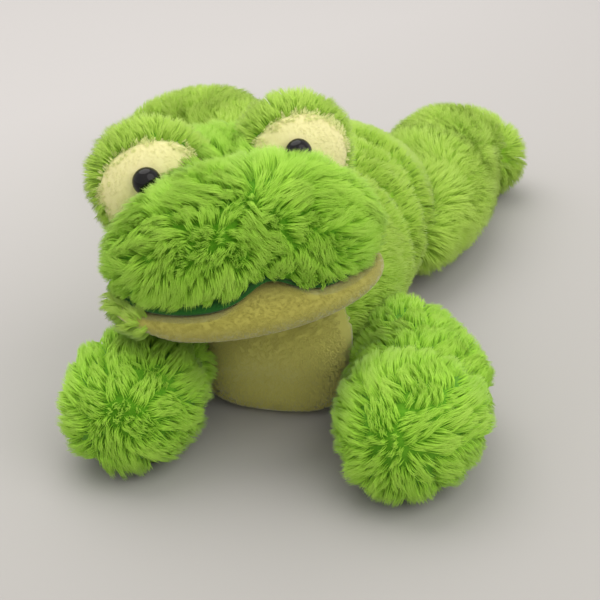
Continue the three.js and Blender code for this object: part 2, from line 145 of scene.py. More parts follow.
# How much of the top of each patch the green fur hides, and how deep and where its edge is tucked in
BROW_OVERHANG = 2.5 * MM
PATCH_TUCK, PATCH_TUCK_SPAN = 2.5 * MM, (0.98, 1.1)
PATCH_FRAY, RIM_FRAY = 1.5 * MM, 0.9 * MM
EYE_ASIDE, BEAD_ASIDE = 4 * MM, 4 * MM
BEAD_RADIUS, BEAD_DOME, BEAD_RISE, BEAD_PROUD = 6 * MM, 5.5 * MM, 5 * MM, 0.35 * MM
BEAD_BACK = 0.12
BEAD_HEIGHT = BEAD_RISE - PATCH_DROP

# Legs
ARM_LENGTH, ARM_WIDTH = 128 * MM, 60 * MM
ARM_HEIGHTS = np.array([0.78, 0.82, 0.9, 1.1, 1.12]) * ARM_WIDTH
SHOULDER_ACROSS, SHOULDER_INSET, SHOULDER_HEIGHT, PAW_HEIGHT = np.array([40.0, 62.0, 32.0, 29.0]) * MM
WRIST_PLACE, WRIST_CREASE, WRIST_CREASE_WIDTH = -117 * MM, 4 * MM, 5 * MM
LEG_WIDTH, LEG_HEIGHT, FOOT_HEIGHT = 66 * MM, 65 * MM, 28 * MM
LEG_WIDTHS = np.array([0.92, 1.04, 1.02, 0.96, 0.9]) * LEG_WIDTH
LEG_HEIGHTS = np.array([0.9, 1, 1.04, 0.92, 0.8]) * LEG_HEIGHT
HIP_ACROSS, HIP_INSET, THIGH_ACROSS, THIGH_INSET = np.array([48.0, 86.0, 55.0, 12.0]) * MM
ARM_BLUNTNESS, LEG_BLUNTNESS = 3.0, 2.6
# Where the middle of a paw lies along its leg
FRONT_PAW, REAR_PAW = 1.0, 0.835
# Share of a leg's length where its sleeve's fur turns into its paw's, and over how much
PAW_START, PAW_BLEND = 0.55, 0.07
# How the fur leans: outwards, back and up on a paw, and along, up and outwards on a sleeve
PAW_LEAN, SLEEVE_LEAN = (0.5, 0.1, -0.05), (0.3, -0.35, 0.1)

# Pile: spacing of the tries and of what is kept, as shares of the spacing asked for
TRIES, CLOSEST = 2.2, 0.8
BESIDE = list(itertools.product((-1, 0, 1), repeat=3))
LARGEST_PIECE = 21000  # strands
VERTICES, FACES = 7, 9  # of a strand
# Least share, and its random spread, of a tuft's height and of a strand's height and width
TUFT_HEIGHT, STRAND_HEIGHT, STRAND_WIDTH = (0.94, 0.12), (0.86, 0.2), (0.75, 0.5)
# Locks: how many are weighed for a tuft, where their edge lies, and how unlike each other they lean
LOCKS_WEIGHED, LOCK_EDGE, LOCK_EDGE_MOST, LOCK_WILD = 4, 0.55, 1.2, 0.7
WILD_SCALE, TONE_SCALE = 30 * MM, 25 * MM
# Tone of a tuft, from its darker to its lighter colours, and what its lock, itself and its place add
TONE, TONE_LOCK, TONE_TUFT, TONE_PLACE, TONE_RANGE = 0.5, 0.12, 0.1, 0.12, (0.02, 0.95)
TONE_STEP = 0.01  # across a strand, so that it keeps some width in its UV map
# How far strands stand round their tuft, how far they fray, and how deep in the cloth they start
SPOT, FRAY, SINK = 0.7, 0.1, 0.5 * MM
# Middle of a strand: shares of root and tip, what it leans less and stands higher, and its thickness
MIDDLE_ROOT, MIDDLE_TIP, MIDDLE_LEAN, MIDDLE_RISE, MIDDLE_WIDTH = 0.45, 0.55, 0.22, 0.08, 0.9
# How unlike each other strands are turned, and how much darker the edge of a lock is painted, as shade in the
# partings between locks
TWIST, EDGE_SHADE = 0.3, 0.2
# Shading of a strand: shares of its cloth's normal, of up and of its own way, on its sides and at its tip
SIDE_NORMAL, SIDE_UP = 0.35, 0.15
TIP_ALONG, TIP_NORMAL, TIP_UP = 0.6, 0.3, 0.15


def unit(vectors, least=1e-12):
    return vectors / np.maximum(np.linalg.norm(vectors, axis=-1, keepdims=True), least)


def flat_to(vectors, normals):
    """The part of each vector that lies in the surface."""
    return vectors - normals * (vectors * normals).sum(-1, keepdims=True)


def smooth(values, low, high):
    """0 below low, 1 above high and smooth between."""
    share = np.clip((values - low) / (high - low), 0, 1)
    return share * share * (3 - 2 * share)


def sigmoid(values):
    return 1 / (1 + np.exp(-values))


def hump(gaps):
    """1 where all the gaps of a row are 0, and falling off round it."""
    return np.exp(-(gaps**2).sum(1))


def turn(axis, degrees):
    return np.array(Matrix.Rotation(math.radians(degrees), 3, axis))


def above_floor(places, least):
    """The same places, with none lower than the least height."""
    return np.maximum(places, [-np.inf, -np.inf, least])


def tree_of(places):
    tree = KDTree(len(places))
    for i, place in enumerate(places):
        tree.insert(place, i)
    tree.balance()
    return tree


# Curves of the stuffed forms
def spine_points(points, t):
    """Places at t, from 0 to 1, on a centripetal Catmull-Rom curve."""
    points = np.asarray(points, float)
    ends = np.vstack([2 * points[0] - points[1], points, 2 * points[-1] - points[-2]])
    run = (len(points) - 1) * np.asarray(t, float)
    i = np.clip(run.astype(int), 0, len(points) - 2)
    w = (run - i)[..., None]
    p0, p1, p2, p3 = (ends[i + k] for k in range(4))
    pairs = ((p0, p1), (p1, p2), (p2, p3))
    gap = [np.sqrt(np.linalg.norm(b - a, axis=-1, keepdims=True)) for a, b in pairs]
    leave = ((p1 - p0) / gap[0] - (p2 - p0) / (gap[0] + gap[1]) + (p2 - p1) / gap[1]) * gap[1]
    arrive = ((p2 - p1) / gap[1] - (p3 - p1) / (gap[1] + gap[2]) + (p3 - p2) / gap[2]) * gap[1]
    return hermite(p1, p2, leave, arrive, w)


def hermite(p1, p2, leave, arrive, w):
    """The cubic that leaves p1 and arrives at p2 with the given slopes, at w from 0 to 1."""
    return p1 + w * (leave + w * (3 * (p2 - p1) - 2 * leave - arrive + w * (2 * (p1 - p2) + leave + arrive)))


def along(values, t):
    """The value at t, from 0 to 1, of a smooth run through the listed values."""
    values = np.asarray(values, float)
    last = len(values) - 1
    run = last * np.asarray(t, float)
    i = np.clip(run.astype(int), 0, last - 1)
    p0, p1, p2, p3 = values[np.maximum(i - 1, 0)], values[i], values[i + 1], values[np.minimum(i + 2, last)]
    return hermite(p1, p2, (p2 - p0) / 2, (p3 - p1) / 2, run - i)


def tube_sizes(form, t, grow):
    """How far a stuffed tube's ends have rounded off at t, and half its width and height."""
    swell = (1 - np.abs(2 * t - 1) ** form["bluntness"]) ** (1 / form["bluntness"])
    return swell, along(form["widths"], t) / 2 + grow, along(form["heights"], t) / 2 + grow


def tube_places(form, t, around, grow):
    """Places on a stuffed tube, with t along it and an angle around it."""
    spine, step = form["spine"], 1e-4
    ahead = spine_points(spine, np.clip(t + step, 0, 1)) - spine_points(spine, np.clip(t - step, 0, 1))
    ahead = unit(ahead)
    side = unit(np.cross(ahead, UP))
    rise = np.cross(side, ahead)
    swell, half_width, half_height = tube_sizes(form, t, grow)
    return (
        spine_points(spine, t)
        + ahead * (grow * (2 * t - 1))[..., None]
        + side * (np.cos(around) * swell * half_width)[..., None]
        + rise * (np.sin(around) * swell * half_height)[..., None]
    )


def spread(height):
    return (height + np.hypot(height, FLOOR_SAG)) / 2


def floor_base(places):
    """How far a form that is spread on the floor has to come down to rest on it."""
    return spread(places[..., 2].min()) + FLOOR_BITE


def ball_grid(rings, around):
    """Angles of a closed ball's grid: from pole to pole, and round."""
    polar = np.linspace(0, math.pi, rings + 1)
    angle = np.linspace(0, 2 * math.pi, around, endpoint=False)
    return np.meshgrid(polar, angle, indexing="ij")


def grid_mesh(places):
    """Vertices and triangles of a closed grid whose first and last rows are poles."""
    rings, around = places.shape[0] - 1, places.shape[1]
    vertices = np.vstack([places[0, :1], places[1:-1].reshape(-1, 3), places[-1, :1]])
    ring = lambda r: 1 + (r - 1) * around + np.arange(around)
    after = lambda row: np.roll(row, -1)
    faces = [np.column_stack([np.zeros(around, int), after(ring(1)), ring(1)])]
    for r in range(1, rings - 1):
        a, b = ring(r), ring(r + 1)
        faces.append(np.column_stack([a, after(a), after(b)]))
        faces.append(np.column_stack([a, after(b), b]))
    last = len(vertices) - 1
    faces.append(np.column_stack([ring(rings - 1), after(ring(rings - 1)), np.full(around, last)]))
    return vertices, np.vstack(faces)


def surface_of(places):
    """Vertices, triangles facing out and vertex normals of a closed grid."""
    vertices, faces = grid_mesh(places)
    corners = vertices[faces]
    normal = np.cross(corners[:, 1] - corners[:, 0], corners[:, 2] - corners[:, 0])
    volume = (corners[:, 0] * normal).sum()
    if volume < 0:
        faces, normal = faces[:, ::-1], -normal
    normals = np.zeros_like(vertices)
    for k in range(3):
        np.add.at(normals, faces[:, k], normal)
    return {"v": vertices, "f": faces, "n": unit(normals)}


def tube_surface(form, grow, rings, around):
    polar, angle = ball_grid(rings, around)
    t = (1 - np.cos(polar)) / 2
    base = floor_base(tube_places(form, t, angle, 0.0))
    places = tube_places(form, t, angle, grow)
    places[..., 2] = spread(places[..., 2]) - base
    if "fold" in form:
        places = form["fold"](places)
    return surface_of(places)


def fold_body(places):
    """Creases where the back's loose cloth folds on the frog's left, and the chest's square foot."""
    x, y, z = places[..., 0], places[..., 1], places[..., 2]
    inwards = -unit(places - np.stack([0 * x, y, 0 * z + BODY_MIDDLE], -1))
    lower = smooth(BODY_TOP - z, 0.0, FOLD_FALL)
    on_side = smooth(x, *FOLD_ACROSS) * smooth(z, *FOLD_ABOVE)
    depth = 0.0
    for top, lean, deep, wide in FOLDS:
        gap = (y - (top + lean * lower) * MM) / (wide * MM)
        depth = depth + deep * MM * (np.exp(-(gap**2)) - BANK * np.exp(-((np.abs(gap) - BANK_PLACE) ** 2)))
    square = smooth(CHEST_FOOT - z, 0, CHEST_FOOT) * smooth(-y, *CHEST_SPAN)
    aside = np.tanh(x / CHEST_TURN) * CHEST_SQUARE * square
    corner = np.stack([aside, -CHEST_SQUARE * square, 0 * square], -1)
    return places + inwards * (depth * on_side)[..., None] + corner


BODY = {
    "fold": fold_body,
    "spine": np.array([
        [0, BODY_FRONT, BODY_MIDDLE - CHEST_DROP],
        [0, BODY_FRONT / 2, BODY_MIDDLE],
        [0, 0, BODY_MIDDLE],
        [0, BODY_REAR / 2, BODY_MIDDLE],
        [0, BODY_REAR, BODY_MIDDLE],
    ]),
    "widths": BODY_WIDTHS,
    "heights": BODY_HEIGHTS,
    "bluntness": BODY_BLUNTNESS,
}


def arm_form(sign, elbow_across, paw_across, shares):
    rear = BODY_FRONT + SHOULDER_INSET
    elbow, paw = rear - ARM_LENGTH / 2, rear - ARM_LENGTH

    def crease(places):
        """Draws the cloth in all round the wrist."""
        y = places[..., 1]
        across = np.interp(y, [paw, elbow], [sign * paw_across, sign * elbow_across])
        middle = np.stack([across, y, np.full(y.shape, PAW_HEIGHT)], -1)
        gap = (y - WRIST_PLACE) / WRIST_CREASE_WIDTH
        return places + unit(middle - places) * (WRIST_CREASE * np.exp(-(gap**2)))[..., None]

    return {
        "fold": crease,
        "spine": np.array([
            [sign * SHOULDER_ACROSS, rear, SHOULDER_HEIGHT],
            [sign * elbow_across, elbow, (SHOULDER_HEIGHT + PAW_HEIGHT) / 2],
            [sign * paw_across, paw, PAW_HEIGHT],
        ]),
        "widths": np.array(shares) * ARM_WIDTH,
        "heights": ARM_HEIGHTS,
        "bluntness": ARM_BLUNTNESS,
    }


def leg_form(sign, shin, ankle, foot):
    """A rear leg: each place is how far across and how far behind the body it lies, in millimetres."""
    height = LEG_HEIGHT / 2
    places = np.array([shin, ankle, foot]) * MM
    heights = [height, FOOT_HEIGHT, FOOT_HEIGHT]
    spine = [
        [sign * HIP_ACROSS, BODY_REAR - HIP_INSET, height],
        [sign * THIGH_ACROSS, BODY_REAR - THIGH_INSET, height],
    ]
    spine += [[sign * across, BODY_REAR + back, z] for (across, back), z in zip(places, heights)]
    return {
        "spine": np.array(spine),
        "widths": LEG_WIDTHS,
        "heights": LEG_HEIGHTS,
        "bluntness": LEG_BLUNTNESS,
    }


LEFT_ARM = arm_form(1, elbow_across=65 * MM, paw_across=57 * MM, shares=[0.8, 1, 1.14, 1.16, 1.04])
RIGHT_ARM = arm_form(-1, elbow_across=47 * MM, paw_across=56 * MM, shares=[0.76, 0.78, 0.86, 1.12, 1.1])
LEFT_LEG = leg_form(1, shin=(58, 42), ankle=(80, 65), foot=(104, 63))
RIGHT_LEG = leg_form(-1, shin=(84, 54), ankle=(116, 72), foot=(146, 61))

# Head shapes, in a frame of the head's own
HEAD_TURN = turn("Z", HEAD_YAW) @ turn("Y", -HEAD_ROLL)
HEAD_MIDDLE = np.array([-HEAD_ASIDE, BODY_FRONT + HEAD_INSET, BODY_TOP + HEAD_ABOVE_BODY])


def from_head(places):
    return places @ HEAD_TURN.T + HEAD_MIDDLE


def to_head(places):
    return (places - HEAD_MIDDLE) @ HEAD_TURN


def ellipsoid_reach(ways, middle, radii):
    way, centre = ways / radii, middle / radii
    square = (way**2).sum(-1)
    facing = way @ centre
    return (facing + np.sqrt(facing**2 + square * (1 - centre @ centre))) / square


def head_reach(ways):
    """How far the head reaches each way: snout and cranium blended, with a crease down the front."""
    snout = ellipsoid_reach(ways, SNOUT_MIDDLE, SNOUT_RADII)
    cranium = ellipsoid_reach(ways, CRANIUM_MIDDLE, CRANIUM_RADII)
    blended = (snout**HEAD_BLEND + cranium**HEAD_BLEND) ** (1 / HEAD_BLEND)
    aside = ways[..., 0] * blended / (CREASE_WIDTH / 2)
    return blended - CREASE_DEPTH * np.exp(-(aside**2)) * np.maximum(-ways[..., 1], 0)


def ball_ways(rings, around):
    polar, angle = ball_grid(rings, around)
    return np.stack([np.sin(polar) * np.cos(angle), np.sin(polar) * np.sin(angle), np.cos(polar)], -1)


def lip_height(x):
    share = np.minimum(np.abs(x) / SNOUT_RADII[0], 1)
    peak = LIP_PEAK * np.exp(-((x / (LIP_PEAK_WIDTH / 2)) ** 2))
    return peak - MOUTH_DROP - LIP_DIP * np.sin(math.pi * share) ** 2 - LIP_DROOP * share**4


def mouth_open(x):
    """Half the height of the slit of the mouth: wide to the frog's right, and nearly shut to its left."""
    return MM * (MOUTH_SLIT + MOUTH_GAPE * smooth(-x, *GAPE_START) * smooth(x, *GAPE_END))


def head_surface(grow):
    """The head above the mouth line: below it the form is pulled up to the lip, as a closed cushion."""
    ways = ball_ways(rings=110, around=120)
    places = ways * (head_reach(ways) + grow)[..., None]
    lip = lip_height(places[..., 0]) + mouth_open(places[..., 0])
    low = places[..., 2] < lip
    places[..., 2] = np.where(low, lip + (places[..., 2] - lip) * LIP_FLATNESS, places[..., 2])
    return surface_of(from_head(places))


def jaw_surface(grow):
    """The jaw below the mouth line, its top pressed flat and drawn up to the frog's right corner."""
    ways = ball_ways(rings=90, around=110)
    places = ways * (JAW_RADII + grow) + JAW_MIDDLE
    lip = lip_height(places[..., 0]) - JAW_LIP_DROP
    above = places[..., 2] - lip
    hanging = 1 - CORNER_LIFT * smooth(-places[..., 0], *CORNER_SPAN)
    places[..., 2] = lip + above * np.where(above > 0, LIP_FLATNESS, hanging)
    return surface_of(from_head(places))


def lining_surface():
    """A closed slab of cloth between the lips, with a rounded rim, set back towards the corners."""
    ways = ball_ways(rings=40, around=120)
    flat = ways * [1, 1, 0]
    reach = head_reach(unit(flat - LINING_DIP * UP))
    rim = np.linalg.norm(flat, axis=-1)
    # Both small values only keep the poles defined
    corner = np.abs(ways[..., 0]) / np.maximum(rim, 1e-9)
    outwards = unit(flat + 1e-9)
    front, left, corners, behind = LINING_INSETS
    inset = front + left * smooth(ways[..., 0], *LINING_LEFT)
    inset = (inset + corners * corner**6 + behind * smooth(ways[..., 1], *LINING_BEHIND)) * MM
    places = outwards * ((reach - inset) * rim)[..., None]
    gape = mouth_open(places[..., 0])
    shell = np.sign(ways[..., 2]) * np.sqrt(np.maximum(1 - rim**8, 0))
    places[..., 2] = lip_height(places[..., 0]) + shell * (gape + LINING_OVERLAP) + gape * LINING_RISE
    return surface_of(from_head(places))


def eye_frame(sign):
    """Turn and middle of an eye in the shared frame."""
    angle = math.radians(EYE_ANGLE)
    back = math.tan(math.radians(EYE_BACK_ANGLE))
    way = unit(np.array([sign * math.sin(angle), back, math.cos(angle)]))
    middle = way * (head_reach(way[None])[0] - EYE_SINK) + np.array([EYE_ASIDE, 0, 0])
    return HEAD_TURN @ turn("Z", sign * EYE_SPLAY) @ turn("X", -EYE_TILT), from_head(middle)


def to_eye(sign, places):
    rotation, middle = eye_frame(sign)
    return (places - middle) @ rotation


def eye_surface(sign, grow):
    rotation, middle = eye_frame(sign)
    places = ball_ways(rings=60, around=72) * (EYE_RADII + grow)
    return surface_of(places @ rotation.T + middle)


# Meshes and materials
def new_object(name, vertices, faces, material, normals=None, uvs=None):
    mesh = bpy.data.meshes.new(name)
    mesh.vertices.add(len(vertices))
    mesh.vertices.foreach_set("co", np.ascontiguousarray(vertices, np.float32).ravel())
    mesh.loops.add(len(faces) * 3)
    mesh.loops.foreach_set("vertex_index", np.ascontiguousarray(faces, np.int32).ravel())
    mesh.polygons.add(len(faces))
    mesh.polygons.foreach_set("loop_start", np.arange(0, len(faces) * 3, 3, dtype=np.int32))
    mesh.polygons.foreach_set("use_smooth", np.ones(len(faces), bool))
    if uvs is not None:
        layer = mesh.uv_layers.new(name="OFBake")
        layer.data.foreach_set("uv", np.ascontiguousarray(uvs[faces.ravel()], np.float32).ravel())
    mesh.update(calc_edges=True)
    mesh.validate()
    if normals is not None:
        mesh.normals_split_custom_set_from_vertices(normals.astype(np.float32))
    mesh.materials.append(material)
    made = bpy.data.objects.new(name, mesh)
    bpy.context.scene.collection.objects.link(made)
    return made


def panel(name, vertices, faces, material, thickness):
    """A piece of cloth cut from a form's surface, thickened inwards."""
    used, index = np.unique(faces, return_inverse=True)
    cloth = new_object(name, vertices[used], index.reshape(-1, 3), material)
    thick = cloth.modifiers.new("thickness", "SOLIDIFY")
    thick.thickness = thickness
    thick.offset = -1
    return cloth


def new_material(name, roughness, sheen, specular):
    material = bpy.data.materials.new(name)
    material.use_nodes = True
    shader = material.node_tree.nodes["Principled BSDF"]
    shader.inputs["Roughness"].default_value = roughness
    shader.inputs["Sheen Weight"].default_value = sheen
    shader.inputs["Specular IOR Level"].default_value = specular
    return material, material.node_tree, shader


def ramp(tree, factor, stops):
    node = tree.nodes.new("ShaderNodeValToRGB")
    elements = node.color_ramp.elements
    while len(elements) < len(stops):
        elements.new(0.5)
    for element, (place, colour) in zip(elements, stops):
        element.position = place
        element.color = (*colour, 1)
    tree.links.new(factor, node.inputs["Fac"])
    return node.outputs["Color"]


def mottled(name, roughness, sheen, specular, scale, detail, stops):
    """A material in close colours, by noise over the piece's own places."""
    material, tree, shader = new_material(name, roughness, sheen, specular)
    place = tree.nodes.new("ShaderNodeTexCoord")
    noise = tree.nodes.new("ShaderNodeTexNoise")
    noise.inputs["Scale"].default_value = scale
    noise.inputs["Detail"].default_value = detail
    tree.links.new(place.outputs["Object"], noise.inputs["Vector"])
    tree.links.new(ramp(tree, noise.outputs["Fac"], stops), shader.inputs["Base Color"])
    return material, tree, shader, noise.outputs["Fac"]


def pile_material(name, dark, light, sheen=0.15):
    """Colours at root, middle and tip, between a darker and a lighter tuft. The darker roots are painted
    shade deep in the pile, and the lighter tips are painted light shining through them.
    """
    material, tree, shader = new_material(name, roughness=0.8, sheen=sheen, specular=0.2)
    uv = tree.nodes.new("ShaderNodeUVMap")
    uv.uv_map = "OFBake"
    parts = tree.nodes.new("ShaderNodeSeparateXYZ")
    tree.links.new(uv.outputs["UV"], parts.inputs[0])
    mix = tree.nodes.new("ShaderNodeMix")
    mix.data_type = "RGBA"
    tree.links.new(parts.outputs["X"], mix.inputs["Factor"])
    for colours, side in ((dark, "A"), (light, "B")):
        stops = list(zip((0.0, 0.5, 1.0), colours))
        tree.links.new(ramp(tree, parts.outputs["Y"], stops), mix.inputs[side])
    tree.links.new(mix.outputs["Result"], shader.inputs["Base Color"])
    return material


def cloth_material(name, low, high, scale, bump, roughness=0.9, sheen=0.2):
    """Plain cloth: two close colours in fine noise, and the same noise as its nap."""
    stops = [(0.35, low), (0.65, high)]
    material, tree, shader, noise = mottled(name, roughness, sheen, 0.15, scale, 6, stops)
    nap = tree.nodes.new("ShaderNodeBump")
    nap.inputs["Strength"].default_value = bump
    nap.inputs["Distance"].default_value = 0.4 * MM
    tree.links.new(noise, nap.inputs["Height"])
    tree.links.new(nap.outputs["Normal"], shader.inputs["Normal"])
    return material


def bead_material():
    stops = [(0.3, (0.004, 0.004, 0.005)), (0.7, (0.009, 0.008, 0.008))]
    material, _, shader, _ = mottled("bead_gloss", 0.1, 0.0, 0.22, 300, 2, stops)
    shader.inputs["Coat Weight"].default_value = 0.1
    return material


def floor_material():
    """Pale board with painted window light: a little lighter towards the window, behind and to the left of
    the picture.
    """
    material, tree, shader = new_material("floor_paint", roughness=0.9, sheen=0.0, specular=0.15)
    place = tree.nodes.new("ShaderNodeTexCoord")
    across = tree.nodes.new("ShaderNodeVectorMath")
    across.operation = "DOT_PRODUCT"
    across.inputs[1].default_value = FLOOR_WAY
    tree.links.new(place.outputs["Object"], across.inputs[0])
    share = tree.nodes.new("ShaderNodeMapRange")
    share.inputs["From Min"].default_value = FLOOR_START
    share.inputs["From Max"].default_value = FLOOR_END
    tree.links.new(across.outputs["Value"], share.inputs["Value"])
    stops = [(0.0, FLOOR_SHADE), (1.0, FLOOR_LIT)]
    tree.links.new(ramp(tree, share.outputs["Result"], stops), shader.inputs["Base Color"])
    return material


# One green plush in three copies that differ by painted light and shade. The copy on the head and front legs
# is greener and darker, with painted shade and bounced light deep in its pile. The back's copy is paler, with
# less of this. The copy on the rear legs, eye lobes and mouth corner is lighter, as painted light.
PLUSH_PILE = pile_material(
    "plush_pile",
    dark=((0.26, 0.57, 0.03), (0.34, 0.66, 0.045), (0.41, 0.71, 0.075)),
    light=((0.32, 0.63, 0.04), (0.41, 0.72, 0.065), (0.51, 0.79, 0.115)),
)
BACK_PILE = pile_material(
    "back_plush_pile",
    dark=((0.3, 0.55, 0.04), (0.36, 0.6, 0.055), (0.41, 0.62, 0.08)),
    light=((0.34, 0.59, 0.05), (0.41, 0.64, 0.07), (0.49, 0.69, 0.12)),
)
LIT_REAR_PILE = pile_material(
    "lit_rear_plush_pile",
    dark=((0.37, 0.62, 0.055), (0.41, 0.65, 0.075), (0.44, 0.66, 0.095)),
    light=((0.41, 0.65, 0.065), (0.46, 0.69, 0.09), (0.52, 0.72, 0.135)),
)
CREAM_PILE = pile_material(
    "cream_pile",
    dark=((0.93, 0.89, 0.43), (0.94, 0.9, 0.45), (0.95, 0.91, 0.47)),
    light=((0.96, 0.92, 0.45), (0.97, 0.93, 0.48), (0.98, 0.94, 0.51)),
)
RIM_PILE = pile_material(
    "eye_rim_pile_fibre",
    dark=((0.74, 0.84, 0.27), (0.78, 0.86, 0.3), (0.82, 0.88, 0.34)),
    light=((0.88, 0.9, 0.36), (0.91, 0.92, 0.4), (0.94, 0.93, 0.45)),
)
# The cream velour of jaw and chest is darkened and greened by painted shade and by painted light bounced off
# the green fur, the jaw more than the chest. Each backing is a little darker than its strands, as painted
# shade between them.
VELOUR_SHEEN = 0.7
SHADED_VELOUR_PILE = pile_material(
    "shaded_velour_pile",
    dark=((0.46, 0.42, 0.082), (0.47, 0.43, 0.086), (0.48, 0.44, 0.09)),
    light=((0.47, 0.43, 0.087), (0.48, 0.44, 0.092), (0.49, 0.45, 0.097)),
    sheen=VELOUR_SHEEN,
)
SHADED_CHEST_PILE = pile_material(
    "chest_velour_pile",
    dark=((0.57, 0.54, 0.13), (0.58, 0.55, 0.135), (0.59, 0.56, 0.14)),
    light=((0.58, 0.55, 0.135), (0.6, 0.57, 0.14), (0.61, 0.58, 0.15)),
    sheen=VELOUR_SHEEN,
)
# Painted shade: a dark green backing under the pile of the head, eyes and front legs, so it reads as shade
# wherever the pile parts
SHADED_PLUSH_CLOTH = cloth_material("plush_backing", (0.1, 0.3, 0.01), (0.14, 0.36, 0.015), 900, 0.5)
BACK_CLOTH = cloth_material("back_plush_backing", (0.28, 0.54, 0.03), (0.33, 0.6, 0.04), 900, 0.5)
CREAM_CLOTH = cloth_material("cream_backing", (0.86, 0.8, 0.4), (0.89, 0.83, 0.43), 500, 0.08)
SHADED_VELOUR_CLOTH = cloth_material(
    "shaded_velour_backing", (0.37, 0.34, 0.064), (0.39, 0.355, 0.068), 500, 0.05, sheen=VELOUR_SHEEN
)
SHADED_CHEST_CLOTH = cloth_material(
    "chest_velour_backing", (0.5, 0.475, 0.11), (0.52, 0.495, 0.115), 500, 0.06, sheen=VELOUR_SHEEN
)
LINING_CLOTH = cloth_material("lining_cloth", (0.012, 0.085, 0.010), (0.018, 0.115, 0.014), 1600, 0.4)
BEAD = bead_material()


# Pile
def scattered(surface, spacing, rng):
    """Places about a spacing apart all over a surface, with their normals."""
    corners = surface["v"][surface["f"]]
    areas = np.linalg.norm(np.cross(corners[:, 1] - corners[:, 0], corners[:, 2] - corners[:, 0]), axis=1) / 2
    count = int(TRIES * areas.sum() / spacing**2)
    pick = rng.choice(len(areas), count, p=areas / areas.sum())
    a, b = np.sqrt(rng.random(count)), rng.random(count)
    weights = np.stack([1 - a, a * (1 - b), a * b], 1)[..., None]
    places = (corners[pick] * weights).sum(1)
    normals = unit((surface["n"][surface["f"][pick]] * weights).sum(1))
    size = spacing * CLOSEST
    points = places.tolist()
    cells = {}
    kept = []
    for i, (x, y, z) in enumerate(np.floor(places / size).astype(int).tolist()):
        others = (j for dx, dy, dz in BESIDE for j in cells.get((x + dx, y + dy, z + dz), ()))
        if not any(math.dist(points[i], points[j]) < size for j in others):
            cells.setdefault((x, y, z), []).append(i)
            kept.append(i)
    return places[kept], normals[kept]


def waves(places, scale, rng, count=6):
    """Smooth random vectors that change over about scale metres."""
    out = np.zeros_like(places)
    for _ in range(count):
        way = rng.normal(size=3)
        way /= np.linalg.norm(way) * scale
        out += rng.normal(size=3) * np.sin(2 * math.pi * (places @ way) + rng.random() * 2 * math.pi)[:, None]
    return out / math.sqrt(count)


def between(span, rng, count):
    """Random values that start at the span's first number and spread over its second."""
    return span[0] + span[1] * rng.random(count)


